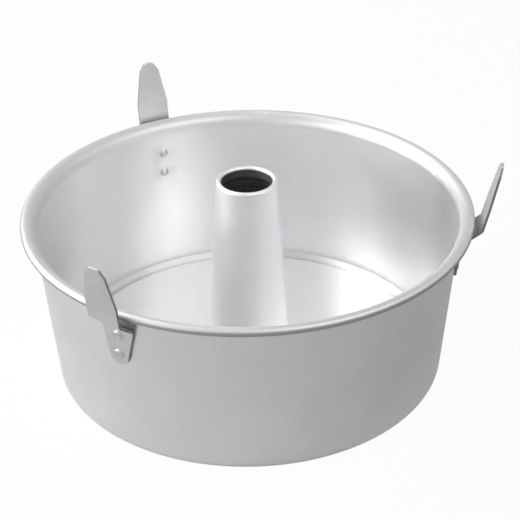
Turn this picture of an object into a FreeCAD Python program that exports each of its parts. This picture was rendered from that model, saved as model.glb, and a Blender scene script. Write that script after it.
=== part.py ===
import FreeCAD, Part
import math
import os
import re
import Sketcher

# Two-piece tube pan for sponge cakes, in millimetres, standing on the plane z = 0 with its axis on z.
# A tapered sheet shell with a rolled rim carries three riveted legs, on which the pan stands upside
# down while the cake cools. The core, a loose floor plate with a chimney through it, stands on a seat
# inside the shell's foot and lifts out.

# Driving sizes, one cell of the sheet each. Angles are in degrees.
SIZES = {
    # shell, radii of bends taken on their hollow side
    "rim_radius": 133.0,            # axis to the outermost edge of the rolled rim
    "pan_height": 103.85,           # standing plane to the top of the rim
    "wall_taper": 4.97,             # lean of the wall from upright
    "shell_thickness": 1.4,
    "flare_radius": 5.6,            # where the wall turns outward under the rim
    "curl_radius": 0.85,            # inside the rolled edge
    "curl_turn": 210.0,             # how far the edge is rolled, from the top of the rim
    "corner_radius": 4.6,           # inside the foot
    "seat_width": 9.0,              # flat seat turned inward at the foot
    # floor plate
    "plate_thickness": 1.4,
    "plate_rise": 3.2,              # top of the floor above the seat
    "plate_edge_radius": 1.2,       # inside the turned-down edge
    "plate_side_clearance": 0.8,    # edge of the plate to the end of the flat seat
    # chimney
    "tube_height": 121.7,           # standing plane to the top of the lip
    "tube_bore_radius": 15.0,       # inside the folded lip
    "tube_taper": 3.2,              # lean of the side from upright
    "tube_thickness": 1.2,
    "lip_fold_radius": 0.4,         # inside the fold of the lip
    "lip_hem_length": 5.0,          # straight hem that hangs inside the lip
    "neck_shoulder": 1.0,           # ledge that stands on the floor plate
    "neck_clearance": 0.1,          # neck to its hole in the floor plate
    "foot_flange_width": 6.0,       # flange rolled out under the floor plate
    # legs, heights taken up the wall from the upper rivet
    "leg_right_angle": 0.0,
    "leg_back_left_angle": 123.5,
    "leg_front_left_angle": 243.0,
    "leg_right_tilt": 1.0,          # sideways out of plumb, as riveted
    "leg_back_left_tilt": 2.4,
    "leg_front_left_tilt": -4.8,
    "leg_thickness": 1.5,
    "leg_width": 20.3,
    "leg_bend_radius": 2.4,         # inside both bends
    "leg_bend_rise": 4.6,           # start of the outward bend
    "leg_shelf_turn": 45.7,         # shelf away from the wall
    "leg_shelf_length": 12.9,       # straight stretch between the bends
    "leg_blade_lean": 8.3,          # blade away from the wall
    "leg_tip_rise": 56.3,
    "tab_end_radius": 6.2,          # rounded lower end of the riveted tab
    "tab_end_drop": 7.0,            # lower rivet to the end of the tab
    "tab_shoulder_rise": 4.2,       # where the tab reaches the full width
    "blade_taper_rise": 30.8,       # where the blade starts to narrow
    "tip_shoulder_width": 12.6,     # blade below its clipped corners
    "tip_corner_height": 5.0,       # clipped corners
    "tip_flat_width": 5.6,
    "leg_corner_round": 2.0,        # stamped corners of the outline
    # rivets
    "rivet_drop": 20.05,            # top of the rim down to the upper rivet
    "rivet_spacing": 13.15,
    "rivet_shank_radius": 1.6,
    "rivet_hole_clearance": 0.1,
    "rivet_head_radius": 2.9,       # domed head inside the pan
    "rivet_head_height": 1.3,
    "clinch_radius": 3.1,           # rolled end on the outside
    "clinch_roll_radius": 0.95,
    "clinch_floor": 0.25,           # bottom of the dimple above the tab
    # shared
    "seat_gap": 0.12,               # flat faces laid against the round wall
    "cut_overrun": 2.0,
}

LEGS = ("right", "back_left", "front_left")

# Places on a sketch edge, and the sketch's own axes and origin, as sketches number them
START, END, CENTRE = range(1, 4)
LEVEL_AXIS, UPRIGHT_AXIS = range(-1, -3, -1)
ORIGIN = (LEVEL_AXIS, START)

doc = FreeCAD.newDocument("tube_pan")
sheet = doc.addObject("Spreadsheet::Sheet", "Sizes")
for row, (alias, amount_set) in enumerate(SIZES.items(), start=1):
    sheet.set(f"A{row}", alias)
    sheet.set(f"B{row}", str(amount_set))
    sheet.setAlias(f"B{row}", alias)
doc.recompute()


def formula(text):
    """An expression on the sheet, from a sum that uses its plain names."""
    return re.sub(r"\b[a-z]+(?:_[a-z]+)+\b", lambda word: "Sizes." + word.group(), text)


def amount(text):
    """The present value of such a sum."""
    return float(sheet.evalExpression(formula(text)))


def point(across, up):
    return FreeCAD.Vector(across, up, 0)


def polar(centre, radius, degrees):
    """The point at a distance and direction from a centre."""
    turn = math.radians(degrees)
    return centre + point(radius * math.cos(turn), radius * math.sin(turn))


# Sums that several pieces share
RIM_CREST_RADIUS = "(rim_radius - curl_radius - shell_thickness)"
SEAT_LEVEL = "shell_thickness"
FLOOR_LEVEL = "(shell_thickness + plate_rise)"
FLOOR_UNDERSIDE = "(shell_thickness + plate_rise - plate_thickness)"
LIP_ROLL = "(tube_thickness + lip_fold_radius)"
UPPER_RIVET_LEVEL = "(pan_height - rivet_drop)"
TAB_END = "(rivet_spacing + tab_end_drop)"

# Corners of a leg's outline, each a full width and a level, from the tab's shoulder up to the tip
LEG_CORNERS = (
    ("leg_width", "tab_shoulder_rise"),
    ("leg_width", "blade_taper_rise"),
    ("tip_shoulder_width", "leg_tip_rise - tip_corner_height"),
    ("tip_flat_width", "leg_tip_rise"),
)


def wall_radius(level):
    """Outside of the straight wall at a level."""
    inside_flare = "(flare_radius + shell_thickness)"
    below_flare = f"({level} - pan_height + {inside_flare} * (1 - sin(wall_taper)))"
    return (f"({RIM_CREST_RADIUS} - {inside_flare} * cos(wall_taper) + shell_thickness / cos(wall_taper)"
            f" + {below_flare} * tan(wall_taper))")


def tube_radius(level):
    """Outside of the chimney's straight side at a level."""
    below_lip = f"(tube_height - {LIP_ROLL} - {level})"
    return f"(tube_bore_radius + {LIP_ROLL} + {LIP_ROLL} / cos(tube_taper) + {below_lip} * tan(tube_taper))"


OUTER_CORNER = "(corner_radius + shell_thickness)"
FOOT_RADIUS = f"({wall_radius(OUTER_CORNER)} - {OUTER_CORNER} / cos(wall_taper))"
NECK_RADIUS = f"({tube_radius(FLOOR_LEVEL)} - neck_shoulder)"
RIVET_RADIUS = wall_radius(UPPER_RIVET_LEVEL)


def origin_feature(body, role):
    return next(item for item in body.Origin.OriginFeatures if item.Role == role)


class Outline:
    """One sketch: edges drawn where they belong, then held by rules and by sizes from the sheet."""

    def __init__(self, body, name, plane):
        self.sketch = body.newObject("Sketcher::SketchObject", name)
        self.sketch.AttachmentSupport = [(origin_feature(body, plane), "")]
        self.sketch.MapMode = "FlatFace"

    def line(self, start, end):
        return self.sketch.addGeometry(Part.LineSegment(start, end))

    def arc(self, centre, radius, first, last):
        """An arc that runs anticlockwise from the first direction to the last."""
        round_edge = Part.Circle(centre, FreeCAD.Vector(0, 0, 1), radius)
        return self.sketch.addGeometry(Part.ArcOfCircle(round_edge, math.radians(first), math.radians(last)))

    def circle(self, centre, radius):
        return self.sketch.addGeometry(Part.Circle(centre, FreeCAD.Vector(0, 0, 1), radius))

    def rule(self, kind, *groups):
        """The same geometric rule on each group of edges and places."""
        for places in groups:
            self.sketch.addConstraint(Sketcher.Constraint(kind, *places))

    def size(self, kind, text, *places):
        """A length or radius that follows the sheet."""
        self.tie(Sketcher.Constraint(kind, *places, amount(text)), text)

    def lean(self, text, edge):
        """The direction of a straight edge, from level, that follows the sheet."""
        self.tie(Sketcher.Constraint("Angle", edge, math.radians(amount(text))), text)

    def tie(self, constraint, text):
        place = self.sketch.addConstraint(constraint)
        self.sketch.setExpression(f"Constraints[{place}]", formula(text))


def new_body(name):
    body = doc.addObject("PartDesign::Body", name)
    body.Label = name
    return body


def revolve(body, outline, axis):
    turned = body.newObject("PartDesign::Revolution", f"{body.Name}_turned")
    turned.Profile = outline.sketch
    turned.ReferenceAxis = (outline.sketch, [axis])
    turned.Angle = 360
    return turned


def wall_place(leg, drop):
    """Frame of a leg on the outside of the wall, at or below its upper rivet: x outward, z up the leg."""
    outward = f"{RIVET_RADIUS} * cos(leg_{leg}_angle)"
    sideways = f"{RIVET_RADIUS} * sin(leg_{leg}_angle)"
    return formula(f"placement(vector({outward}; {sideways}; {UPPER_RIVET_LEVEL});"
                   f" rotation(leg_{leg}_angle; wall_taper; leg_{leg}_tilt))"
                   f" * placement(vector(0; 0; -{drop}); rotation(0; 0; 0))")


def rivet_circles(outline):
    """The two rivet holes of a leg, in the frame of its upper rivet."""
    radius = "rivet_shank_radius + rivet_hole_clearance"
    upper = outline.circle(point(0, 0), amount(radius))
    lower = outline.circle(point(0, -amount("rivet_spacing")), amount(radius))
    outline.rule("Coincident", (upper, CENTRE, *ORIGIN))
    outline.rule("PointOnObject", (lower, CENTRE, UPRIGHT_AXIS))
    outline.size("DistanceY", "rivet_spacing", lower, CENTRE, *ORIGIN)
    for hole in (upper, lower):
        outline.size("Radius", radius, hole)


def make_pan_shell():
    """Spun shell: seat, rounded foot, tapered wall, flare and rolled edge in one section."""
    body = new_body("pan_shell")
    section = Outline(body, "shell_section", "XZ_Plane")
    sheet_thickness = amount("shell_thickness")
    taper = amount("wall_taper")
    rolled = 90 - amount("curl_turn")
    crest = amount(RIM_CREST_RADIUS)
    corner, flare, curl = (amount(name) for name in ("corner_radius", "flare_radius", "curl_radius"))
    foot_centre = point(amount(FOOT_RADIUS), corner + sheet_thickness)
    flare_centre = point(crest, amount("pan_height - flare_radius - shell_thickness"))
    curl_centre = point(crest, amount("pan_height - curl_radius - shell_thickness"))
    seat_end = foot_centre.x - amount("seat_width")

    # Outer face, from the seat up and over to the rolled edge
    under = section.line(point(seat_end, 0), point(foot_centre.x, 0))
    foot_out = section.arc(foot_centre, corner + sheet_thickness, -90, -taper)
    wall_out = section.line(polar(foot_centre, corner + sheet_thickness, -taper),
                            polar(flare_centre, flare, 180 - taper))
    flare_out = section.arc(flare_centre, flare, 90, 180 - taper)
    curl_in = section.arc(curl_centre, curl, rolled, 90)
    rolled_edge = section.line(polar(curl_centre, curl + sheet_thickness, rolled),
                               polar(curl_centre, curl, rolled))
    # Inner face, back down to the seat
    curl_out = section.arc(curl_centre, curl + sheet_thickness, rolled, 90)
    flare_in = section.arc(flare_centre, flare + sheet_thickness, 90, 180 - taper)
    wall_in = section.line(polar(flare_centre, flare + sheet_thickness, 180 - taper),
                           polar(foot_centre, corner, -taper))
    foot_in = section.arc(foot_centre, corner, -90, -taper)
    seat = section.line(point(foot_centre.x, sheet_thickness), point(seat_end, sheet_thickness))
    seat_edge = section.line(point(seat_end, sheet_thickness), point(seat_end, 0))

    section.rule("Tangent", (under, END, foot_out, START), (foot_out, END, wall_out, START),
                 (wall_out, END, flare_out, END), (curl_out, END, flare_in, START),
                 (flare_in, END, wall_in, START), (wall_in, END, foot_in, END),
                 (foot_in, START, seat, START))
    section.rule("Coincident", (curl_out, START, rolled_edge, START), (rolled_edge, END, curl_in, START),
                 (seat, END, seat_edge, START), (seat_edge, END, under, START),
                 (foot_in, CENTRE, foot_out, CENTRE), (flare_in, CENTRE, flare_out, CENTRE),
                 (curl_in, CENTRE, curl_out, CENTRE))
    section.rule("Vertical", (flare_in, CENTRE, curl_out, CENTRE), (flare_out, START, flare_out, CENTRE),
                 (curl_in, END, curl_in, CENTRE), (seat_edge,))
    section.rule("Horizontal", (under,), (seat,))
    section.rule("PointOnObject", (under, START, LEVEL_AXIS), (curl_out, CENTRE, rolled_edge))
    for name, hollow, full in (("corner_radius", foot_in, foot_out), ("flare_radius", flare_out, flare_in),
                               ("curl_radius", curl_in, curl_out)):
        section.size("Radius", name, hollow)
        section.size("Radius", f"{name} + shell_thickness", full)
    section.size("DistanceX", RIM_CREST_RADIUS, *ORIGIN, curl_out, CENTRE)
    section.size("DistanceY", "pan_height - curl_radius - shell_thickness", *ORIGIN, curl_out, CENTRE)
    section.size("DistanceX", "seat_width", under, START, under, END)
    section.lean("90 - wall_taper", wall_out)
    section.lean("270 - curl_turn", rolled_edge)
    revolve(body, section, "V_Axis")

    for leg in LEGS:
        holes = Outline(body, f"{leg}_rivet_holes", "YZ_Plane")
        rivet_circles(holes)
        sideways = f"{RIVET_RADIUS} * sin(leg_{leg}_angle)"
        outward = f"{RIVET_RADIUS} * cos(leg_{leg}_angle)"
        place = (f"placement(vector({sideways}; {UPPER_RIVET_LEVEL}; {outward});"
                 f" rotation(0; leg_{leg}_angle; wall_taper))"
                 f" * placement(vector(0; 0; 0); rotation(leg_{leg}_tilt; 0; 0))")
        holes.sketch.setExpression("AttachmentOffset", formula(place))
        cut = body.newObject("PartDesign::Pocket", f"{leg}_rivet_cut")
        cut.Profile = holes.sketch
        cut.SideType = "Symmetric"
        cut.setExpression("Length", formula("2 * (shell_thickness + cut_overrun)"))
    return body


def make_base_plate():
    """Loose floor: a flat disc with a turned-down edge and a hole for the neck of the chimney."""
    body = new_body("base_plate")
    section = Outline(body, "plate_section", "XZ_Plane")
    edge_radius = f"{FOOT_RADIUS} - plate_side_clearance"
    hole_radius = f"{NECK_RADIUS} + neck_clearance"
    thick = amount("plate_thickness")
    bend = amount("plate_edge_radius")
    outer = amount(edge_radius)
    hole = amount(hole_radius)
    seat_level, under_level, top_level = (amount(text) for text in (SEAT_LEVEL, FLOOR_UNDERSIDE, FLOOR_LEVEL))
    bend_centre = point(outer - thick - bend, under_level - bend)

    top = section.line(point(hole, top_level), point(bend_centre.x, top_level))
    bend_out = section.arc(bend_centre, bend + thick, 0, 90)
    skirt_out = section.line(point(outer, bend_centre.y), point(outer, seat_level))
    skirt_foot = section.line(point(outer, seat_level), point(outer - thick, seat_level))
    skirt_in = section.line(point(outer - thick, seat_level), point(outer - thick, bend_centre.y))
    bend_in = section.arc(bend_centre, bend, 0, 90)
    under = section.line(point(bend_centre.x, under_level), point(hole, under_level))
    hole_wall = section.line(point(hole, under_level), point(hole, top_level))

    section.rule("Tangent", (top, END, bend_out, END), (bend_out, START, skirt_out, START),
                 (skirt_in, END, bend_in, START), (bend_in, END, under, START))
    section.rule("Coincident", (skirt_out, END, skirt_foot, START), (skirt_foot, END, skirt_in, START),
                 (under, END, hole_wall, START), (hole_wall, END, top, START),
                 (bend_in, CENTRE, bend_out, CENTRE))
    section.rule("Horizontal", (top,), (skirt_foot,), (under,))
    section.rule("Vertical", (skirt_out,), (skirt_in,), (hole_wall,))
    section.size("Radius", "plate_edge_radius", bend_in)
    section.size("Radius", "plate_edge_radius + plate_thickness", bend_out)
    section.size("DistanceX", hole_radius, *ORIGIN, hole_wall, START)
    section.size("DistanceX", edge_radius, *ORIGIN, skirt_out, END)
    section.size("DistanceY", SEAT_LEVEL, *ORIGIN, skirt_out, END)
    section.size("DistanceY", FLOOR_LEVEL, *ORIGIN, top, START)
    revolve(body, section, "V_Axis")
    return body


def make_centre_tube():
    """Chimney: flange and neck at the floor plate, tapered side, lip folded inward to a hem."""
    body = new_body("centre_tube")
    section = Outline(body, "tube_section", "XZ_Plane")
    thick = amount("tube_thickness")
    taper = amount("tube_taper")
    fold = amount("lip_fold_radius")
    bore = amount("tube_bore_radius")
    neck = amount(NECK_RADIUS)
    foot = amount(tube_radius(FLOOR_LEVEL))
    floor = amount(FLOOR_LEVEL)
    flange_top_level = amount(FLOOR_UNDERSIDE)
    flange_end = neck + amount("foot_flange_width")
    step_level = floor + thick
    step_end = amount(tube_radius(f"({FLOOR_LEVEL} + tube_thickness)")) - thick / math.cos(math.radians(taper))
    lip_centre = point(bore + fold + thick, amount(f"tube_height - {LIP_ROLL}"))
    hem_end = lip_centre.y - amount("lip_hem_length")

    flange_edge = section.line(point(flange_end, flange_top_level - thick), point(flange_end, flange_top_level))
    flange_top = section.line(point(flange_end, flange_top_level), point(neck, flange_top_level))
    neck_out = section.line(point(neck, flange_top_level), point(neck, floor))
    shoulder = section.line(point(neck, floor), point(foot, floor))
    side_out = section.line(point(foot, floor), polar(lip_centre, fold + thick, taper))
    lip_out = section.arc(lip_centre, fold + thick, taper, 180)
    hem_in = section.line(point(bore, lip_centre.y), point(bore, hem_end))
    hem_edge = section.line(point(bore, hem_end), point(bore + thick, hem_end))
    hem_out = section.line(point(bore + thick, hem_end), point(bore + thick, lip_centre.y))
    lip_in = section.arc(lip_centre, fold, taper, 180)
    side_in = section.line(polar(lip_centre, fold, taper), point(step_end, step_level))
    step = section.line(point(step_end, step_level), point(neck - thick, step_level))
    neck_in = section.line(point(neck - thick, step_level), point(neck - thick, flange_top_level - thick))
    under = section.line(point(neck - thick, flange_top_level - thick),
                         point(flange_end, flange_top_level - thick))

    section.rule("Tangent", (side_out, END, lip_out, START), (lip_out, END, hem_in, START),
                 (hem_out, END, lip_in, END), (lip_in, START, side_in, START))
    section.rule("Coincident", (flange_edge, END, flange_top, START), (flange_top, END, neck_out, START),
                 (neck_out, END, shoulder, START), (shoulder, END, side_out, START),
                 (hem_in, END, hem_edge, START), (hem_edge, END, hem_out, START),
                 (side_in, END, step, START), (step, END, neck_in, START), (neck_in, END, under, START),
                 (under, END, flange_edge, START), (lip_in, CENTRE, lip_out, CENTRE))
    section.rule("Horizontal", (flange_top,), (shoulder,), (hem_edge,), (step,), (under,))
    section.rule("Vertical", (flange_edge,), (neck_out,), (hem_in,), (hem_out,), (neck_in,))
    section.rule("Parallel", (side_in, side_out))
    section.size("Radius", "lip_fold_radius", lip_in)
    section.size("Radius", LIP_ROLL, lip_out)
    section.size("DistanceX", "tube_bore_radius", *ORIGIN, hem_in, START)
    section.size("DistanceY", f"tube_height - {LIP_ROLL}", *ORIGIN, lip_out, CENTRE)
    section.size("DistanceY", "lip_hem_length", hem_in, END, hem_in, START)
    section.lean("90 + tube_taper", side_out)
    section.size("DistanceY", FLOOR_LEVEL, *ORIGIN, shoulder, START)
    section.size("DistanceX", "neck_shoulder", shoulder, START, shoulder, END)
    section.size("DistanceX", "tube_thickness", neck_in, END, neck_out, START)
    section.size("DistanceY", "tube_thickness", shoulder, START, step, END)
    section.size("DistanceY", FLOOR_UNDERSIDE, *ORIGIN, flange_top, START)
    section.size("DistanceY", "tube_thickness", flange_edge, START, flange_edge, END)
    section.size("DistanceX", "foot_flange_width", flange_top, END, flange_top, START)
    revolve(body, section, "V_Axis")
    return body


def leg_section(body):
    """Side view of a leg: tab along the wall, bend out to a rising shelf, bend up to the blade."""
    section = Outline(body, f"{body.Name}_section", "XZ_Plane")
    thick = amount("leg_thickness")
    bend = amount("leg_bend_radius")
    shelf = amount("leg_shelf_turn")
    lean = amount("leg_blade_lean")
    tip_lean = amount("wall_taper")
    tab_face = amount("seat_gap")
    tab_bottom = -amount(f"{TAB_END} + cut_overrun")
    low_centre = point(tab_face + thick + bend, amount("leg_bend_rise"))
    shelf_start = polar(low_centre, bend, 180 - shelf)
    shelf_end = polar(shelf_start, amount("leg_shelf_length"), 90 - shelf)
    high_centre = polar(shelf_end, bend + thick, 180 - shelf)
    blade_start = polar(high_centre, bend + thick, -lean)
    blade_length = (amount("leg_tip_rise") - blade_start.y) / math.cos(math.radians(lean))
    tip_outer = polar(blade_start, blade_length, 90 - lean)
    tip_inner = polar(tip_outer, -thick / math.cos(math.radians(tip_lean + lean)), tip_lean)

    sides = []
    for face, low_radius, high_radius, tip in ((tab_face + thick, bend, bend + thick, tip_outer),
                                               (tab_face, bend + thick, bend, tip_inner)):
        tab = section.line(point(face, tab_bottom), point(face, low_centre.y))
        low = section.arc(low_centre, low_radius, 180 - shelf, 180)
        rise = section.line(polar(low_centre, low_radius, 180 - shelf), polar(high_centre, high_radius, -shelf))
        high = section.arc(high_centre, high_radius, -shelf, -lean)
        blade = section.line(polar(high_centre, high_radius, -lean), tip)
        section.rule("Tangent", (tab, END, low, END), (low, START, rise, START), (rise, END, high, START),
                     (high, END, blade, START))
        section.rule("Vertical", (tab,))
        sides.append((tab, low, rise, high, blade))
    outer, inner = sides
    tab_out, low_out, rise_out, high_out, blade_out = outer
    tab_in, low_in, rise_in, high_in, blade_in = inner
    tip_edge = section.line(tip_inner, tip_outer)
    tab_edge = section.line(point(tab_face, tab_bottom), point(tab_face + thick, tab_bottom))

    section.rule("Coincident", (blade_in, END, tip_edge, START), (tip_edge, END, blade_out, END),
                 (tab_in, START, tab_edge, START), (tab_edge, END, tab_out, START),
                 (low_in, CENTRE, low_out, CENTRE), (high_in, CENTRE, high_out, CENTRE))
    section.rule("Horizontal", (tab_edge,))
    section.rule("Parallel", (blade_in, blade_out))
    for hollow, full in ((low_out, low_in), (high_in, high_out)):
        section.size("Radius", "leg_bend_radius", hollow)
        section.size("Radius", "leg_bend_radius + leg_thickness", full)
    section.size("DistanceX", "seat_gap", *ORIGIN, tab_in, START)
    section.size("DistanceY", f"{TAB_END} + cut_overrun", tab_in, START, *ORIGIN)
    section.size("DistanceY", "leg_bend_rise", *ORIGIN, low_out, CENTRE)
    section.size("Distance", "leg_shelf_length", rise_out)
    section.size("DistanceY", "leg_tip_rise", *ORIGIN, blade_out, END)
    section.lean("90 - leg_shelf_turn", rise_out)
    section.lean("90 - leg_blade_lean", blade_out)
    # The tip is cut level in this view, for the pan to stand on when it is turned over
    section.lean("wall_taper", tip_edge)
    return section


def leg_outline(body):
    """Front view of what is trimmed off a leg: all outside its outline, and the rivet holes."""
    trim = Outline(body, f"{body.Name}_outline", "YZ_Plane")
    centre_level = f"{TAB_END} - tab_end_radius"
    radius = amount("tab_end_radius")
    end_centre = point(0, -amount(centre_level))
    # The outline runs on past the tip, which the side view has already cut level
    corners = (*LEG_CORNERS, ("tip_flat_width", "leg_tip_rise + cut_overrun"))
    shoulder = point(amount("leg_width / 2"), amount("tab_shoulder_rise"))
    reach = shoulder - end_centre
    touch = math.degrees(math.atan2(reach.y, reach.x) - math.acos(radius / reach.Length))

    edges = {}
    for side in (1, -1):
        start = point(side * radius * math.cos(math.radians(touch)), polar(end_centre, radius, touch).y)
        edges[side] = []
        for width, level in corners:
            end = point(side * amount(width) / 2, amount(level))
            edges[side].append(trim.line(start, end))
            start = end
        trim.rule("Coincident", *[(low, END, high, START) for low, high in zip(edges[side], edges[side][1:])])
    right, left = edges[1], edges[-1]
    tab_end = trim.arc(end_centre, radius, 180 - touch, 360 + touch)
    top = trim.line(point(-amount("tip_flat_width / 2"), amount(corners[-1][1])),
                    point(amount("tip_flat_width / 2"), amount(corners[-1][1])))
    trim.rule("Tangent", (left[0], START, tab_end, START), (tab_end, END, right[0], START))
    trim.rule("Coincident", (left[-1], END, top, START), (top, END, right[-1], END))
    trim.rule("Symmetric", *[(a, END, b, END, UPRIGHT_AXIS) for a, b in zip(left, right)])
    trim.rule("PointOnObject", (tab_end, CENTRE, UPRIGHT_AXIS))
    trim.rule("Vertical", (right[1],), (right[4],))
    trim.size("Radius", "tab_end_radius", tab_end)
    trim.size("DistanceY", centre_level, tab_end, CENTRE, *ORIGIN)
    for place, (width, level) in enumerate(corners):
        trim.size("DistanceY", level, *ORIGIN, right[place], END)
        if place in (0, 2, 3):
            trim.size("DistanceX", width, left[place], END, right[place], END)

    half = amount("leg_width / 2 + 2 * cut_overrun")
    low = -amount(f"{TAB_END} + 2 * cut_overrun")
    high = amount("leg_tip_rise + 2 * cut_overrun")
    frame_corners = (point(-half, low), point(half, low), point(half, high), point(-half, high))
    frame = [trim.line(a, b) for a, b in zip(frame_corners, frame_corners[1:] + frame_corners[:1])]
    trim.rule("Coincident", *[(a, END, b, START) for a, b in zip(frame, frame[1:] + frame[:1])])
    trim.rule("Horizontal", (frame[0],), (frame[2],))
    trim.rule("Vertical", (frame[1],), (frame[3],))
    trim.size("DistanceX", "leg_width / 2 + 2 * cut_overrun", *ORIGIN, frame[0], END)
    trim.size("DistanceX", "leg_width / 2 + 2 * cut_overrun", frame[0], START, *ORIGIN)
    trim.size("DistanceY", f"{TAB_END} + 2 * cut_overrun", frame[0], START, *ORIGIN)
    trim.size("DistanceY", "leg_tip_rise + 2 * cut_overrun", *ORIGIN, frame[2], START)
    rivet_circles(trim)
    return trim


def corner_edges(shape):
    """Names of the edges through the strip at the corners of a leg's outline."""
    places = [(amount(width) / 2, amount(level)) for width, level in LEG_CORNERS]
    near = amount("leg_thickness") / 2
    names = []
    for number, edge in enumerate(shape.Edges, start=1):
        first, last = (edge.firstVertex().Point, edge.lastVertex().Point)
        through = abs(first.y - last.y) < near and abs(first.x - last.x) > near
        middle = (first + last) / 2
        if through and any(abs(abs(middle.y) - half) < near and abs(middle.z - level) < near
                           for half, level in places):
            names.append(f"Edge{number}")
    return names


def make_leg(leg):
    """Cooling leg: a bent strip, drawn in the frame of its upper rivet and set against the wall."""
    body = new_body(f"leg_{leg}")
    strip = body.newObject("PartDesign::Pad", f"{leg}_strip")
    strip.Profile = leg_section(body).sketch
    strip.SideType = "Symmetric"
    strip.setExpression("Length", formula("leg_width + 2 * cut_overrun"))
    doc.recompute()
    trimmed = body.newObject("PartDesign::Pocket", f"{leg}_trimmed")
    trimmed.Profile = leg_outline(body).sketch
    trimmed.Type = "ThroughAll"
    trimmed.SideType = "Symmetric"
    doc.recompute()
    rounded = body.newObject("PartDesign::Fillet", f"{leg}_rounded")
    rounded.Base = (trimmed, corner_edges(trimmed.Shape))
    rounded.setExpression("Radius", formula("leg_corner_round"))
    body.setExpression("Placement", wall_place(leg, "0"))
    return body


def make_rivet(leg, level, drop):
    """Semi-tubular rivet along the wall's normal: domed inside the pan, rolled over on the tab."""
    body = new_body(f"rivet_{leg}_{level}")
    section = Outline(body, f"{body.Name}_section", "XZ_Plane")
    head_base = "shell_thickness + seat_gap"
    clinch_base = "seat_gap + leg_thickness"
    head_x = -amount(head_base)
    clinch_x = amount(clinch_base)
    head, height, shank = (amount(f"rivet_{name}") for name in ("head_radius", "head_height", "shank_radius"))
    rim, roll = amount("clinch_radius"), amount("clinch_roll_radius")
    dome_radius = (head ** 2 + height ** 2) / (2 * height)
    dome_centre = point(head_x - height + dome_radius, 0)
    dome_edge = math.degrees(math.atan2(head, head_x - dome_centre.x))
    roll_centre = point(clinch_x, rim - roll)
    dimple = point(clinch_x + amount("clinch_floor"), 0)
    to_roll = roll_centre - dimple
    slope = math.degrees(math.atan2(to_roll.y, to_roll.x) - math.asin(roll / to_roll.Length))

    axis = section.line(point(head_x - height, 0), dimple)
    dome = section.arc(dome_centre, dome_radius, dome_edge, 180)
    head_under = section.line(point(head_x, head), point(head_x, shank))
    shank_side = section.line(point(head_x, shank), point(clinch_x, shank))
    clinch_under = section.line(point(clinch_x, shank), point(clinch_x, rim))
    clinch = section.arc(roll_centre, roll, slope - 90, 90)
    dimple_side = section.line(dimple, polar(roll_centre, roll, slope - 90))

    section.rule("Coincident", (axis, START, dome, END), (dome, START, head_under, START),
                 (head_under, END, shank_side, START), (shank_side, END, clinch_under, START),
                 (clinch_under, END, clinch, END), (dimple_side, START, axis, END))
    section.rule("Tangent", (dimple_side, END, clinch, START))
    section.rule("PointOnObject", (axis, START, LEVEL_AXIS), (axis, END, LEVEL_AXIS),
                 (dome, CENTRE, LEVEL_AXIS))
    section.rule("Vertical", (head_under,), (clinch_under,), (clinch, CENTRE, clinch, END))
    section.rule("Horizontal", (shank_side,))
    section.size("DistanceX", head_base, head_under, START, *ORIGIN)
    section.size("DistanceY", "rivet_head_radius", *ORIGIN, head_under, START)
    section.size("DistanceX", "rivet_head_height", axis, START, head_under, START)
    section.size("DistanceY", "rivet_shank_radius", *ORIGIN, shank_side, START)
    section.size("DistanceX", clinch_base, *ORIGIN, clinch_under, START)
    section.size("DistanceY", "clinch_radius", *ORIGIN, clinch_under, END)
    section.size("Radius", "clinch_roll_radius", clinch)
    section.size("DistanceX", "clinch_floor", clinch_under, START, axis, END)
    revolve(body, section, "H_Axis")
    body.setExpression("Placement", wall_place(leg, drop))
    return body


def check(bodies):
    """Stop if anything failed to build, or a piece isn't one sound solid."""
    failed = [item.Name for item in doc.Objects if {"Invalid", "Error"} & set(item.State)]
    if failed:
        raise RuntimeError(f"failed to build: {failed}")
    for body in bodies:
        shape = body.Shape
        if shape.isNull() or not shape.isValid() or len(shape.Solids) != 1:
            raise RuntimeError(f"{body.Label} is not one sound solid")
        print(f"{body.Label}: {shape.Volume:.1f} cubic mm")


pieces = [make_pan_shell(), make_base_plate(), make_centre_tube()]
for leg_name in LEGS:
    pieces.append(make_leg(leg_name))
    pieces.append(make_rivet(leg_name, "upper", "0"))
    pieces.append(make_rivet(leg_name, "lower", "rivet_spacing"))
doc.recompute()
check(pieces)
os.makedirs("parts", exist_ok=True)
for piece in pieces:
    piece.Shape.exportStep(f"parts/{piece.Label}.step")
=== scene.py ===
"""Looks of the angel food cake pan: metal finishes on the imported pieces, a pale studio and the camera."""
import math

import bpy
from bpy.props import FloatProperty, FloatVectorProperty, PointerProperty
from mathutils import Matrix, Vector


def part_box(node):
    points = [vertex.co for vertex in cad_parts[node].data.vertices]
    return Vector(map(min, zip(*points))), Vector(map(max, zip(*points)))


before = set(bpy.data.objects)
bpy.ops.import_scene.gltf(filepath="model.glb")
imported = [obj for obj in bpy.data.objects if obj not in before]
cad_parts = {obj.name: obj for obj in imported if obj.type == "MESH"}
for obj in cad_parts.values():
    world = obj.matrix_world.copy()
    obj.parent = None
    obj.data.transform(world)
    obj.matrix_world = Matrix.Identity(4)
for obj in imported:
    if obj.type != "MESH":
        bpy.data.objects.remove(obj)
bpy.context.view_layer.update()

bl_info = {
    "name": "Angel food cake pan looks",
    "version": (1, 0, 0),
    "blender": (4, 5, 0),
    "location": "View3D > Sidebar > Cake pan",
    "description": "Satin aluminium finishes, a pale studio stage and a camera for the packed cake pan",
    "category": "Object",
}

MM = 0.001
LEGS = ("right", "back_left", "front_left")
RIVET_ROWS = ("upper", "lower")

# Zones, each given as where it begins and where it is full. From the top of the shell:
FLARE = (-10.0 * MM, -4.0 * MM)
# From the outer edge of the rim
CURL = (-6.0 * MM, -3.0 * MM)
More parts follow.
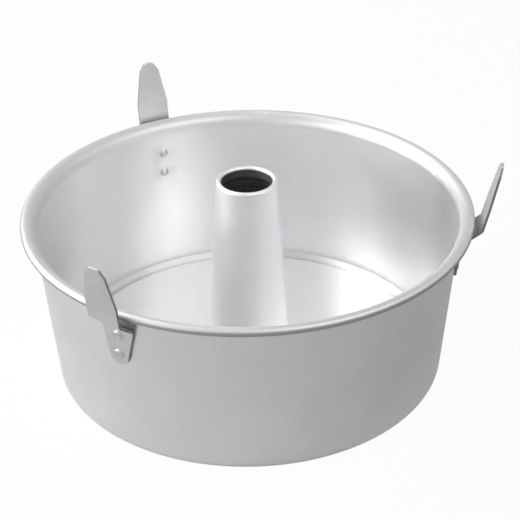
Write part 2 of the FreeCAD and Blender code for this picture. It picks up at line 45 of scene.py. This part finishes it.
# From the plane that the pan stands on
FOOT = (6.0 * MM, 5.4 * MM)
GROOVE = (3.2 * MM, 1.6 * MM)
# From the edge of the floor plate
PAST_PLATE = (0.6 * MM, 1.0 * MM)
# From the top of the chimney
BORE = (-0.6 * MM, -2.0 * MM)
# By the way a face looks, as shares of its normal
LOOKING_UP = (-0.05, 0.05)
UNDERNEATH = (0.85, 0.15)
LOOKING_IN = (-0.5, -0.9)
LOOKING_SIDEWAYS = (0.5, 0.85)
# Ends of a pattern that count in the gloss, in mottled colours and in streaks, and the ends of a zone
NOISE_ENDS = (0.3, 0.7)
CLOUD_ENDS = (0.35, 0.7)
STREAK_ENDS = (0.4, 0.7)
ZONE_ENDS = (0.0, 1.0)

# Roughness of each finish at the ends of its pattern, and what marks, the rim and the bore add to it
SPUN_ROUGH = (0.33, 0.37)
PRESSED_ROUGH = (0.34, 0.38)
DRAWN_ROUGH = (0.38, 0.42)
STRIP_ROUGH = (0.38, 0.44)
RIVET_ROUGH = (0.16, 0.22)
MARK_ROUGH = (-0.02, 0.02)
RIM_ROUGH = (0.0, 0.08)
BORE_ROUGH = (0.0, 0.1)
# Stretch of the gloss across the turning rings, and the turn that lays it there
GLOSS_STRETCH = 0.3
QUARTER_TURN = 0.25
# Strength of the relief of turning rings, rivet dimples, rolled grain and hammer facets
RING_RELIEF = 0.5
DIMPLE_RELIEF = 1.0
GRAIN_RELIEF = 0.6
FACET_RELIEF = 0.12
# How far handling marks darken and lighten a colour
SHEET_SPREAD = 0.015
STRIP_SPREAD = 0.03
RIVET_SPREAD = 0.04
# Painted shade over the corner inside the foot and darker in its groove, and the darkest and lightest rings
# of the bore
CORNER_SHADE = 0.75
GROOVE_SHADE = 0.58
BORE_SHADES = (0.8, 1.4)
# How far that corner looks up, as rise over run: it is shaded as one plain chamfer
CORNER_LEAN = 0.9
# The rolled grain runs up the leg, so its lines are this much finer across than along
GRAIN_SQUEEZE = (1.0, 1.0, 0.03)
# Rays that feel for the worn edges of the legs
WEAR_SAMPLES = 8

# Light reaches the chimney's side only after many bounces inside the pan
MIRROR_BOUNCES = 12
# The floor lies a hair under the pan's standing ring, so that the two faces never share a plane
FLOOR_DROP = 0.02 * MM
# Side of the square floor
FLOOR_SIZE = 8.0
# Share of the floor that metal shows as one plain tone
PLAIN_SHARE = 0.5
# Size of the lamp panels, their distance from the pan and the height that they look at
PANEL_SIZE = 0.9
PANEL_REACH = 1.15
PANEL_AIM = 60 * MM
# Where each panel stands, in degrees: turned to the right from straight behind the pan, and raised
PANELS = {"key": (-90, 22), "front": (-135, 22), "back": (-45, 46), "fill": (135, 55), "right": (90, 38)}


def linear(hex_colour):
    """Linear red, green and blue of an sRGB hex colour such as #C8CACC."""
    channels = [int(hex_colour[start:start + 2], 16) / 255 for start in (1, 3, 5)]
    return tuple(c / 12.92 if c <= 0.04045 else ((c + 0.055) / 1.055) ** 2.4 for c in channels)


class CAKE_PAN_PG_metal(bpy.types.PropertyGroup):
    """Colours and grain of the pan's metal pieces."""

    sheet_colour: FloatVectorProperty(
        name="Sheet colour", description="Satin aluminium of the shell and the floor",
        subtype="COLOR", size=3, min=0, max=1, default=linear("#EDEDEE"))
    # Painted light: a lighter copy of the sheet colour, so the chimney's outside reads as brightly lit
    lit_tube_colour: FloatVectorProperty(
        name="Tube colour", description="Outside of the chimney, turned last and so the brightest",
        subtype="COLOR", size=3, min=0, max=1, default=linear("#F9F9FA"))
    # Painted shade: this dark colour inside the chimney stands in for the shade deep in the tube
    bore_shade_colour: FloatVectorProperty(
        name="Bore colour", description="Unpolished, oxidised inside of the chimney",
        subtype="COLOR", size=3, min=0, max=1, default=linear("#8A8A8E"))
    # Painted shade: a darker copy of the sheet colour over the flare and rim, for dimmer highlights there
    shaded_rim_colour: FloatVectorProperty(
        name="Rim colour", description="Flare and rolled rim, left as spun and so duller than the wall",
        subtype="COLOR", size=3, min=0, max=1, default=linear("#E0E0E1"))
    # Painted shade: the underside of the rolled rim is darkened where it faces down
    underside_shade_colour: FloatVectorProperty(
        name="Underside colour", description="Dull underside of the rolled rim",
        subtype="COLOR", size=3, min=0, max=1, default=linear("#B0B0B2"))
    strip_colour: FloatVectorProperty(
        name="Strip colour", description="Mill-finish aluminium strip of the legs",
        subtype="COLOR", size=3, min=0, max=1, default=linear("#DCDCDC"))
    # Painted shade: the side faces of the legs are given this darker colour
    edge_shade_colour: FloatVectorProperty(
        name="Blanked colour", description="Long edges of the legs, torn by the press and so darker",
        subtype="COLOR", size=3, min=0, max=1, default=linear("#929292"))
    rivet_colour: FloatVectorProperty(
        name="Rivet colour", description="Soft aluminium wire of the rivets",
        subtype="COLOR", size=3, min=0, max=1, default=linear("#D6D7D8"))
    edge_round: FloatProperty(
        name="Edge round", description="How far tumbling wears the edges of the legs",
        unit="LENGTH", min=0, max=0.7 * MM, default=0.4 * MM)
    # Real rings lie a few tenths of a millimetre apart, too fine to show, so they are drawn coarser
    line_spacing: FloatProperty(
        name="Line spacing", description="Distance between the rings that the spinning tool leaves",
        unit="LENGTH", min=0.2 * MM, max=10 * MM, default=1.6 * MM)
    line_depth: FloatProperty(
        name="Line depth", description="Depth of those rings, and of the grain of the legs",
        unit="LENGTH", min=0, max=0.2 * MM, default=0.012 * MM)
    mark_size: FloatProperty(
        name="Mark size", description="Size of the faint handling marks",
        unit="LENGTH", min=1 * MM, max=200 * MM, default=32 * MM)
    dimple_reach: FloatProperty(
        name="Dimple reach", description="How far round a rivet the wall is drawn in",
        unit="LENGTH", min=1 * MM, max=20 * MM, default=9 * MM)
    dimple_depth: FloatProperty(
        name="Dimple depth", description="How deep the wall is drawn in at a rivet",
        unit="LENGTH", min=0, max=1 * MM, default=0.35 * MM)
    # Real rolled lines and tumbling dots are finer still and don't show, so both are drawn coarser
    grain_width: FloatProperty(
        name="Grain width", description="Width of the lines that rolling leaves along the legs",
        unit="LENGTH", min=0.1 * MM, max=5 * MM, default=0.8 * MM)
    pepper_size: FloatProperty(
        name="Pepper size", description="Size of the dots that tumbling leaves on the legs",
        unit="LENGTH", min=0.1 * MM, max=5 * MM, default=1.4 * MM)
    strip_mark_size: FloatProperty(
        name="Strip mark size", description="Size of the faint handling marks on the legs",
        unit="LENGTH", min=1 * MM, max=50 * MM, default=9 * MM)
    facet_size: FloatProperty(
        name="Facet size", description="Size of the hammer facets on the rivets",
        unit="LENGTH", min=0.2 * MM, max=5 * MM, default=2.2 * MM)
    facet_depth: FloatProperty(
        name="Facet depth", description="Depth of those facets",
        unit="LENGTH", min=0, max=0.5 * MM, default=0.05 * MM)


class CAKE_PAN_PG_stage(bpy.types.PropertyGroup):
    """The studio: floor, lamps and the camera."""

    floor_colour: FloatVectorProperty(
        name="Floor colour", description="Pale studio floor",
        subtype="COLOR", size=3, min=0, max=1, default=linear("#F2F2F2"))
    key_power: FloatProperty(
        name="Key power", description="Power of the panel at the left", subtype="POWER",
        min=0, max=200, default=11.6)
    front_power: FloatProperty(
        name="Front power", description="Power of the panel in front at the left", subtype="POWER",
        min=0, max=200, default=1.5)
    back_power: FloatProperty(
        name="Back power", description="Power of the panel behind at the left", subtype="POWER",
        min=0, max=200, default=3.4)
    fill_power: FloatProperty(
        name="Fill power", description="Power of the panel in front at the right", subtype="POWER",
        min=0, max=200, default=2.1)
    right_power: FloatProperty(
        name="Right power", description="Power of the panel at the right", subtype="POWER",
        min=0, max=200, default=0.6)
    room_tone: FloatProperty(
        name="Room tone", description="Share of white that metal shows of the room", subtype="FACTOR",
        min=0, max=1, default=0.65)
    floor_lift: FloatProperty(
        name="Floor lift", description="Share of plain white that the camera sees over the floor",
        subtype="FACTOR", min=0, max=1, default=0.96)
    floor_tone: FloatProperty(
        name="Floor tone", description="Tone of the plain share of the floor that metal shows",
        subtype="FACTOR", min=0, max=1, default=0.5)
    camera_azimuth: FloatProperty(
        name="Camera azimuth", description="Turn of the camera round the pan from straight in front",
        subtype="ANGLE", default=math.radians(6.81))
    camera_elevation: FloatProperty(
        name="Camera elevation", description="Height of the camera above the horizon",
        subtype="ANGLE", default=math.radians(30.98))
    camera_roll: FloatProperty(
        name="Camera roll", description="Tilt of the camera about its own line of sight",
        subtype="ANGLE", default=math.radians(-0.89))
    camera_distance: FloatProperty(
        name="Camera distance", description="From the point looked at to the lens",
        unit="LENGTH", min=0.1, max=10, default=921.06 * MM)
    camera_lens: FloatProperty(
        name="Lens", description="Focal length on the 36 mm wide sensor",
        unit="CAMERA", min=10, max=300, default=106.2)
    camera_target: FloatVectorProperty(
        name="Looked at", description="Point in the middle of the picture",
        subtype="TRANSLATION", unit="LENGTH", size=3, default=(6.97 * MM, 0.80 * MM, 66.84 * MM))


def add(tree, kind, settings=None, inputs=None):
    """Add a node, with its settings, and with each input set to a value or linked to an output."""
    made = tree.nodes.new(kind)
    for name, value in (settings or {}).items():
        setattr(made, name, value)
    for name, value in (inputs or {}).items():
        socket = made.inputs[name]
        if isinstance(value, bpy.types.NodeSocket):
            tree.links.new(value, socket)
        else:
            socket.default_value = value
    return made


def opaque(colour):
    """A colour with full alpha, as the shader's colour sockets take it."""
    return (*colour, 1.0)


def shade(colour, factor):
    """A colour made darker or lighter by a factor, as a shader colour."""
    return opaque([min(1.0, c * factor) for c in colour])


def metal(name):
    """A new metal: the material, its node tree and its surface shader."""
    material = bpy.data.materials.new(name)
    material.use_nodes = True
    shader = material.node_tree.nodes["Principled BSDF"]
    shader.inputs["Metallic"].default_value = 1.0
    return material, material.node_tree, shader


def dress(names, material):
    """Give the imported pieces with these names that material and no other."""
    for name in names:
        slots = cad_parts[name].data.materials
        slots.clear()
        slots.append(material)


def where(tree):
    """A point's place in the pan, its distance from the pan's axis and its height, all in metres."""
    place = add(tree, "ShaderNodeTexCoord").outputs["Object"]
    level = add(tree, "ShaderNodeVectorMath", {"operation": "MULTIPLY"}, {0: place, 1: (1, 1, 0)})
    radius = add(tree, "ShaderNodeVectorMath", {"operation": "LENGTH"}, {0: level.outputs["Vector"]})
    height = add(tree, "ShaderNodeSeparateXYZ", None, {"Vector": place})
    return place, radius.outputs["Value"], height.outputs["Z"]


def outward(tree, place):
    """The level direction from the pan's axis to a point."""
    level = add(tree, "ShaderNodeVectorMath", {"operation": "MULTIPLY"}, {0: place, 1: (1, 1, 0)})
    made = add(tree, "ShaderNodeVectorMath", {"operation": "NORMALIZE"}, {0: level.outputs["Vector"]})
    return made.outputs["Vector"]


def rings(tree, radius, height, spacing):
    """Random level of each fine ring round the axis, counted along the sheet's profile."""
    run = add(tree, "ShaderNodeMath", {"operation": "ADD"}, {0: radius, 1: height})
    lines = add(tree, "ShaderNodeTexNoise", {"noise_dimensions": "1D"},
                {"W": run.outputs["Value"], "Scale": 1 / spacing, "Detail": 3.0, "Roughness": 0.6})
    return lines.outputs["Fac"]


def marks(tree, place, size):
    """Faint cloudy handling marks of that size."""
    cloud = add(tree, "ShaderNodeTexNoise", None,
                {"Vector": place, "Scale": 1 / size, "Detail": 4.0, "Roughness": 0.55, "Distortion": 0.4})
    return cloud.outputs["Fac"]


def zone(tree, *limits):
    """Share, from 0 to 1, of a zone of a piece.

    Each limit is a measure, the edge it is counted from, and where from there the zone begins and is full.
    """
    share = 1.0
    for measure, edge, (begins, full) in limits:
        within = add(tree, "ShaderNodeMapRange", {"interpolation_type": "SMOOTHSTEP"},
                     {"Value": measure, "From Min": edge + begins, "From Max": edge + full})
        both = add(tree, "ShaderNodeMath", {"operation": "MULTIPLY"},
                   {0: share, 1: within.outputs["Result"]})
        share = both.outputs["Value"]
    return share


def tinted(tree, colour, *zones):
    """A colour that gives way to another in each zone, given as its share and that colour."""
    for share, other in zones:
        mixed = add(tree, "ShaderNodeMix", {"data_type": "RGBA"}, {0: share, 6: colour, 7: other})
        colour = mixed.outputs[2]
    return colour


def mottled(tree, cloud, colour, spread):
    """A colour that handling marks darken and lighten."""
    light = zone(tree, (cloud, 0, CLOUD_ENDS))
    return tinted(tree, shade(colour, 1 - spread), (light, shade(colour, 1 + spread)))


def gloss(tree, *parts):
    """Roughness as a sum of parts: a pattern or zone, its two ends, and what it gives at each."""
    total = 0.0
    for measure, (low, high), (at_low, at_high) in parts:
        part = add(tree, "ShaderNodeMapRange", {"interpolation_type": "SMOOTHSTEP"},
                   {"Value": measure, "From Min": low, "From Max": high,
                    "To Min": at_low, "To Max": at_high})
        both = add(tree, "ShaderNodeMath", {"operation": "ADD"}, {0: total, 1: part.outputs["Result"]})
        total = both.outputs["Value"]
    return total


def turned_grain(tree, shader):
    """Stretch the gloss across the turning rings, as turned or spun metal does."""
    shader.inputs["Anisotropic"].default_value = GLOSS_STRETCH
    shader.inputs["Anisotropic Rotation"].default_value = QUARTER_TURN
    round_axis = add(tree, "ShaderNodeTangent", {"direction_type": "RADIAL", "axis": "Z"})
    tree.links.new(round_axis.outputs["Tangent"], shader.inputs["Tangent"])


def surface(tree, shader, colour, rough, normal):
    """Hand the finished colour, roughness and normal to the shader."""
    for name, made in (("Base Color", colour), ("Roughness", rough), ("Normal", normal)):
        tree.links.new(made, shader.inputs[name])


def rivet_dimples(tree, place, finish):
    """Normal of a wall that each rivet draws in a little."""
    drawn_in = 0.0
    for leg in LEGS:
        for row in RIVET_ROWS:
            low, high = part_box(f"rivet_{leg}_{row}")
            gap = add(tree, "ShaderNodeVectorMath", {"operation": "DISTANCE"},
                      {0: place, 1: (low + high) / 2})
            dent = zone(tree, (gap.outputs["Value"], 0, (finish.dimple_reach, 0)))
            deepest = add(tree, "ShaderNodeMath", {"operation": "MAXIMUM"}, {0: drawn_in, 1: dent})
            drawn_in = deepest.outputs["Value"]
    dents = add(tree, "ShaderNodeBump", {"invert": True},
                {"Height": drawn_in, "Distance": finish.dimple_depth, "Strength": DIMPLE_RELIEF})
    return dents.outputs["Normal"]


def spun_aluminium(finish):
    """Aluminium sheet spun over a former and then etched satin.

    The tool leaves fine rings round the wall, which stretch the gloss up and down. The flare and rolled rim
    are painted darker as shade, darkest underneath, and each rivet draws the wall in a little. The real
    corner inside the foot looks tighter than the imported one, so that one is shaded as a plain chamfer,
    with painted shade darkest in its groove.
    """
    material, tree, shader = metal("Spun satin aluminium")
    place, radius, height = where(tree)
    fine = rings(tree, radius, height, finish.line_spacing)
    cloud = marks(tree, place, finish.mark_size)
    true_normal = add(tree, "ShaderNodeNewGeometry").outputs["True Normal"]
    rise = add(tree, "ShaderNodeSeparateXYZ", None, {"Vector": true_normal}).outputs["Z"]
    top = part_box("pan_shell")[1]
    plate_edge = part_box("base_plate")[1].x
    flare = zone(tree, (height, top.z, FLARE))
    under = zone(tree, (radius, top.x, CURL), (rise, 0, UNDERNEATH))
    corner = zone(tree, (rise, 0, LOOKING_UP), (height, 0, FOOT), (radius, plate_edge, PAST_PLATE))
    # Painted shade over the corner inside the foot, darker still down in its groove
    groove = tinted(tree, shade(finish.sheet_colour, CORNER_SHADE),
                    (zone(tree, (height, 0, GROOVE)), shade(finish.sheet_colour, GROOVE_SHADE)))
    # Painted shade over the corner and its groove, over the flare and rim, and darkest under the rim
    colour = tinted(tree, mottled(tree, cloud, finish.sheet_colour, SHEET_SPREAD), (corner, groove),
                    (flare, opaque(finish.shaded_rim_colour)), (under, opaque(finish.underside_shade_colour)))
    rough = gloss(tree, (fine, NOISE_ENDS, SPUN_ROUGH), (cloud, NOISE_ENDS, MARK_ROUGH),
                  (flare, ZONE_ENDS, RIM_ROUGH))
    lines = add(tree, "ShaderNodeBump", None,
                {"Height": fine, "Distance": finish.line_depth, "Strength": RING_RELIEF,
                 "Normal": rivet_dimples(tree, place, finish)})
    chamfer = add(tree, "ShaderNodeVectorMath", {"operation": "MULTIPLY_ADD"},
                  {0: outward(tree, place), 1: (-1, -1, 0), 2: (0, 0, CORNER_LEAN)})
    turned = add(tree, "ShaderNodeMix", {"data_type": "VECTOR"},
                 {0: corner, 4: lines.outputs["Normal"], 5: chamfer.outputs["Vector"]})
    normal = add(tree, "ShaderNodeVectorMath", {"operation": "NORMALIZE"}, {0: turned.outputs[1]})
    surface(tree, shader, colour, rough, normal.outputs["Vector"])
    turned_grain(tree, shader)
    return material


def pressed_aluminium(finish):
    """Aluminium disc pressed and faced in a lathe, then etched satin.

    The facing tool leaves rings round the middle, so the gloss opens into a soft fan.
    """
    material, tree, shader = metal("Pressed satin aluminium")
    place, radius, height = where(tree)
    fine = rings(tree, radius, height, finish.line_spacing)
    cloud = marks(tree, place, finish.mark_size)
    colour = mottled(tree, cloud, finish.sheet_colour, SHEET_SPREAD)
    rough = gloss(tree, (fine, NOISE_ENDS, PRESSED_ROUGH), (cloud, NOISE_ENDS, MARK_ROUGH))
    lines = add(tree, "ShaderNodeBump", None,
                {"Height": fine, "Distance": finish.line_depth, "Strength": RING_RELIEF})
    surface(tree, shader, colour, rough, lines.outputs["Normal"])
    turned_grain(tree, shader)
    return material


def drawn_aluminium(finish):
    """Aluminium tube drawn to a taper and turned outside, left as drawn inside.

    Outside it is satin, with painted light making it brighter. The bore is painted dark as shade, with grey
    drawing rings.
    """
    material, tree, shader = metal("Drawn satin aluminium")
    place, radius, height = where(tree)
    fine = rings(tree, radius, height, finish.line_spacing)
    cloud = marks(tree, place, finish.mark_size)
    true_normal = add(tree, "ShaderNodeNewGeometry").outputs["True Normal"]
    facing = add(tree, "ShaderNodeVectorMath", {"operation": "DOT_PRODUCT"},
                 {0: true_normal, 1: outward(tree, place)})
    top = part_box("centre_tube")[1].z
    bore = zone(tree, (facing.outputs["Value"], 0, LOOKING_IN), (height, top, BORE))
    # The bore's colour is painted shade, with lighter and darker drawing rings
    dark, light = [shade(finish.bore_shade_colour, factor) for factor in BORE_SHADES]
    streak = tinted(tree, dark, (zone(tree, (fine, 0, STREAK_ENDS)), light))
    # The outside takes the lighter tube colour, which is painted light
    colour = tinted(tree, mottled(tree, cloud, finish.lit_tube_colour, SHEET_SPREAD), (bore, streak))
    rough = gloss(tree, (fine, NOISE_ENDS, DRAWN_ROUGH), (cloud, NOISE_ENDS, MARK_ROUGH),
                  (bore, ZONE_ENDS, BORE_ROUGH))
    lines = add(tree, "ShaderNodeBump", None,
                {"Height": fine, "Distance": finish.line_depth, "Strength": RING_RELIEF})
    surface(tree, shader, colour, rough, lines.outputs["Normal"])
    turned_grain(tree, shader)
    return material


def stamped_strip(finish):
    """Mill-finish aluminium strip, blanked and bent in a press and tumbled to dull its edges.

    Rolling leaves a fine grain along the strip, and tumbling a faint even peppering. The long side faces are
    painted darker than the broad faces, as painted shade.
    """
    material, tree, shader = metal("Stamped aluminium strip")
    place = add(tree, "ShaderNodeTexCoord").outputs["Object"]
    parts = add(tree, "ShaderNodeSeparateXYZ", None, {"Vector": place})
    turn = add(tree, "ShaderNodeMath", {"operation": "ARCTAN2"},
               {0: parts.outputs["Y"], 1: parts.outputs["X"]})
    across = add(tree, "ShaderNodeMath", {"operation": "MULTIPLY"},
                 {0: turn.outputs["Value"], 1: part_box("pan_shell")[1].x})
    along = add(tree, "ShaderNodeCombineXYZ", None, {"X": across.outputs["Value"], "Z": parts.outputs["Z"]})
    long_way = add(tree, "ShaderNodeVectorMath", {"operation": "MULTIPLY"},
                   {0: along.outputs["Vector"], 1: GRAIN_SQUEEZE})
    grain = add(tree, "ShaderNodeTexNoise", None,
                {"Vector": long_way.outputs["Vector"], "Scale": 1 / finish.grain_width, "Detail": 3.0})
    grain = grain.outputs["Fac"]
    pepper = marks(tree, place, finish.pepper_size)
    cloud = marks(tree, place, finish.strip_mark_size)
    sideways = add(tree, "ShaderNodeVectorMath", {"operation": "CROSS_PRODUCT"}, {0: (0, 0, 1), 1: place})
    sideways = add(tree, "ShaderNodeVectorMath", {"operation": "NORMALIZE"},
                   {0: sideways.outputs["Vector"]})
    true_normal = add(tree, "ShaderNodeNewGeometry").outputs["True Normal"]
    lean = add(tree, "ShaderNodeVectorMath", {"operation": "DOT_PRODUCT"},
               {0: true_normal, 1: sideways.outputs["Vector"]})
    lean = add(tree, "ShaderNodeMath", {"operation": "ABSOLUTE"}, {0: lean.outputs["Value"]})
    # Painted shade on the faces of the strip that look sideways
    shaded_sides = zone(tree, (lean.outputs["Value"], 0, LOOKING_SIDEWAYS))
    colour = tinted(tree, mottled(tree, cloud, finish.strip_colour, STRIP_SPREAD),
                    (shaded_sides, opaque(finish.edge_shade_colour)))
    rough = gloss(tree, (grain, NOISE_ENDS, STRIP_ROUGH), (pepper, NOISE_ENDS, MARK_ROUGH))
    relief = add(tree, "ShaderNodeMath", {"operation": "ADD"}, {0: grain, 1: pepper})
    worn = add(tree, "ShaderNodeBevel", {"samples": WEAR_SAMPLES}, {"Radius": finish.edge_round})
    lines = add(tree, "ShaderNodeBump", None,
                {"Height": relief.outputs["Value"], "Distance": finish.line_depth, "Strength": GRAIN_RELIEF,
                 "Normal": worn.outputs["Normal"]})
    surface(tree, shader, colour, rough, lines.outputs["Normal"])
    return material


def headed_wire(finish):
    """Soft aluminium wire, cold headed inside the pan and clinched outside.

    The die leaves the head smooth and bright, with faint hammer facets.
    """
    material, tree, shader = metal("Cold-headed aluminium wire")
    place = add(tree, "ShaderNodeTexCoord").outputs["Object"]
    facets = marks(tree, place, finish.facet_size)
    colour = mottled(tree, facets, finish.rivet_colour, RIVET_SPREAD)
    rough = gloss(tree, (facets, NOISE_ENDS, RIVET_ROUGH))
    dents = add(tree, "ShaderNodeBump", None,
                {"Height": facets, "Distance": finish.facet_depth, "Strength": FACET_RELIEF})
    surface(tree, shader, colour, rough, dents.outputs["Normal"])
    return material


def camera_sides(settings):
    """Level directions of the picture: to its right, and away from the camera."""
    turn = settings.camera_azimuth
    return Vector((math.cos(turn), math.sin(turn), 0)), Vector((-math.sin(turn), math.cos(turn), 0))


def soft_panel(settings, name, turn, rise, power):
    """A large square lamp that looks at the pan, placed as the camera sees it."""
    lamp = bpy.data.lights.new(name, "AREA")
    lamp.shape = "SQUARE"
    lamp.size = PANEL_SIZE
    lamp.energy = power
    thing = bpy.data.objects.new(name, lamp)
    bpy.context.scene.collection.objects.link(thing)
    side, depth = camera_sides(settings)
    level = side * math.sin(turn) + depth * math.cos(turn)
    toward = level * math.cos(rise) + Vector((0, 0, math.sin(rise)))
    place = Vector((0, 0, PANEL_AIM)) + toward * PANEL_REACH
    facing = (-toward).to_track_quat("-Z", "Y").to_matrix().to_4x4()
    thing.matrix_world = Matrix.Translation(place) @ facing


def studio_floor(material):
    """The flat floor under the pan, facing up."""
    mesh = bpy.data.meshes.new("studio_floor")
    half = FLOOR_SIZE / 2
    corners = [(-half, -half, 0), (half, -half, 0), (half, half, 0), (-half, half, 0)]
    mesh.from_pydata(corners, [], [(0, 1, 2, 3)])
    mesh.materials.append(material)
    thing = bpy.data.objects.new("studio_floor", mesh)
    thing.location.z = -FLOOR_DROP
    bpy.context.scene.collection.objects.link(thing)


def seen_by(tree, camera_value, mirror_value):
    """One value for what the camera sees, another for what mirrors and glass see, nothing for the rest."""
    path = add(tree, "ShaderNodeLightPath")
    mirrored = add(tree, "ShaderNodeMath", {"operation": "MAXIMUM"},
                   {0: path.outputs["Is Glossy Ray"], 1: path.outputs["Is Transmission Ray"]})
    mirrored = add(tree, "ShaderNodeMath", {"operation": "MULTIPLY"},
                   {0: mirrored.outputs["Value"], 1: mirror_value})
    direct = add(tree, "ShaderNodeMath", {"operation": "MULTIPLY"},
                 {0: path.outputs["Is Camera Ray"], 1: camera_value})
    made = add(tree, "ShaderNodeMath", {"operation": "MAXIMUM"},
               {0: direct.outputs["Value"], 1: mirrored.outputs["Value"]})
    return made.outputs["Value"]


def studio_paper(settings):
    """Matt white studio paper. The camera sees it near white all over, with the pan's shadow kept."""
    material = bpy.data.materials.new("White studio paper")
    material.use_nodes = True
    tree = material.node_tree
    tree.nodes.clear()
    paper = add(tree, "ShaderNodeBsdfDiffuse", None, {"Color": opaque(settings.floor_colour)})
    white = add(tree, "ShaderNodeEmission", None,
                {"Color": (1, 1, 1, 1), "Strength": seen_by(tree, 1.0, settings.floor_tone)})
    share = seen_by(tree, settings.floor_lift, PLAIN_SHARE)
    mixed = add(tree, "ShaderNodeMixShader", None,
                {0: share, 1: paper.outputs["BSDF"], 2: white.outputs["Emission"]})
    add(tree, "ShaderNodeOutputMaterial", None, {"Surface": mixed.outputs["Shader"]})
    return material


def white_room(settings):
    """A room that the camera sees as white and mirrors see as pale grey."""
    world = bpy.data.worlds.new("White room")
    bpy.context.scene.world = world
    world.use_nodes = True
    tree = world.node_tree
    tree.nodes.clear()
    room = add(tree, "ShaderNodeBackground", None,
               {"Color": (1, 1, 1, 1), "Strength": seen_by(tree, 1.0, settings.room_tone)})
    add(tree, "ShaderNodeOutputWorld", None, {"Surface": room.outputs["Background"]})


def photo_camera(settings):
    """The camera, at the photograph's angle and distance."""
    side, depth = camera_sides(settings)
    rise = settings.camera_elevation
    back = -depth * math.cos(rise) + Vector((0, 0, math.sin(rise)))
    up = back.cross(side)
    roll = settings.camera_roll
    right = side * math.cos(roll) + up * math.sin(roll)
    above = up * math.cos(roll) - side * math.sin(roll)
    data = bpy.data.cameras.new("Photo camera")
    data.lens = settings.camera_lens
    thing = bpy.data.objects.new("Photo camera", data)
    bpy.context.scene.collection.objects.link(thing)
    place = Vector(settings.camera_target) + back * settings.camera_distance
    facing = Matrix((right, above, back)).transposed().to_4x4()
    thing.matrix_world = Matrix.Translation(place) @ facing
    bpy.context.scene.camera = thing


class CAKE_PAN_OT_shell(bpy.types.Operator):
    """Finish the pan's spun shell"""

    bl_idname = "cake_pan.shell"
    bl_label = "Shell"

    def execute(self, context):
        dress(["pan_shell"], spun_aluminium(context.scene.cake_pan_metal))
        return {"FINISHED"}


class CAKE_PAN_OT_floor_plate(bpy.types.Operator):
    """Finish the loose floor"""

    bl_idname = "cake_pan.floor_plate"
    bl_label = "Floor plate"

    def execute(self, context):
        dress(["base_plate"], pressed_aluminium(context.scene.cake_pan_metal))
        return {"FINISHED"}


class CAKE_PAN_OT_chimney(bpy.types.Operator):
    """Finish the centre tube"""

    bl_idname = "cake_pan.chimney"
    bl_label = "Chimney"

    def execute(self, context):
        dress(["centre_tube"], drawn_aluminium(context.scene.cake_pan_metal))
        return {"FINISHED"}


class CAKE_PAN_OT_legs(bpy.types.Operator):
    """Finish the three cooling legs"""

    bl_idname = "cake_pan.legs"
    bl_label = "Legs"

    def execute(self, context):
        dress([f"leg_{leg}" for leg in LEGS], stamped_strip(context.scene.cake_pan_metal))
        return {"FINISHED"}


class CAKE_PAN_OT_rivets(bpy.types.Operator):
    """Finish the six rivets"""

    bl_idname = "cake_pan.rivets"
    bl_label = "Rivets"

    def execute(self, context):
        names = [f"rivet_{leg}_{row}" for leg in LEGS for row in RIVET_ROWS]
        dress(names, headed_wire(context.scene.cake_pan_metal))
        return {"FINISHED"}


class CAKE_PAN_OT_stage(bpy.types.Operator):
    """Set up the floor, the lamps, the room and the camera"""

    bl_idname = "cake_pan.stage"
    bl_label = "Stage"

    def execute(self, context):
        settings = context.scene.cake_pan_stage
        studio_floor(studio_paper(settings))
        for name, place in PANELS.items():
            turn, rise = [math.radians(degrees) for degrees in place]
            power = getattr(settings, f"{name}_power")
            soft_panel(settings, f"{name.capitalize()} panel", turn, rise, power)
        white_room(settings)
        photo_camera(settings)
        context.scene.view_settings.view_transform = "Standard"
        context.scene.cycles.glossy_bounces = MIRROR_BOUNCES
        return {"FINISHED"}


class CAKE_PAN_PT_sidebar(bpy.types.Panel):
    """Lists the steps that dress the pan"""

    bl_idname = "CAKE_PAN_PT_sidebar"
    bl_label = "Cake pan"
    bl_space_type = "VIEW_3D"
    bl_region_type = "UI"
    bl_category = "Cake pan"

    def draw(self, context):
        for step in STEPS:
            self.layout.operator(step.bl_idname)
        for settings in (context.scene.cake_pan_metal, context.scene.cake_pan_stage):
            for name in settings.__annotations__:
                self.layout.prop(settings, name)


STEPS = (CAKE_PAN_OT_shell, CAKE_PAN_OT_floor_plate, CAKE_PAN_OT_chimney, CAKE_PAN_OT_legs,
         CAKE_PAN_OT_rivets, CAKE_PAN_OT_stage)
CLASSES = (CAKE_PAN_PG_metal, CAKE_PAN_PG_stage, *STEPS, CAKE_PAN_PT_sidebar)


def register():
    """Register the classes and hang their settings on the scene."""
    for made in CLASSES:
        bpy.utils.register_class(made)
    bpy.types.Scene.cake_pan_metal = PointerProperty(type=CAKE_PAN_PG_metal)
    bpy.types.Scene.cake_pan_stage = PointerProperty(type=CAKE_PAN_PG_stage)


def unregister():
    """Take the settings off the scene and the classes out again."""
    del bpy.types.Scene.cake_pan_stage
    del bpy.types.Scene.cake_pan_metal
    for made in reversed(CLASSES):
        bpy.utils.unregister_class(made)


def main():
    """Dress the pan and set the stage."""
    register()
    bpy.ops.cake_pan.shell()
    bpy.ops.cake_pan.floor_plate()
    bpy.ops.cake_pan.chimney()
    bpy.ops.cake_pan.legs()
    bpy.ops.cake_pan.rivets()
    bpy.ops.cake_pan.stage()


if __name__ == "__main__":
    main()
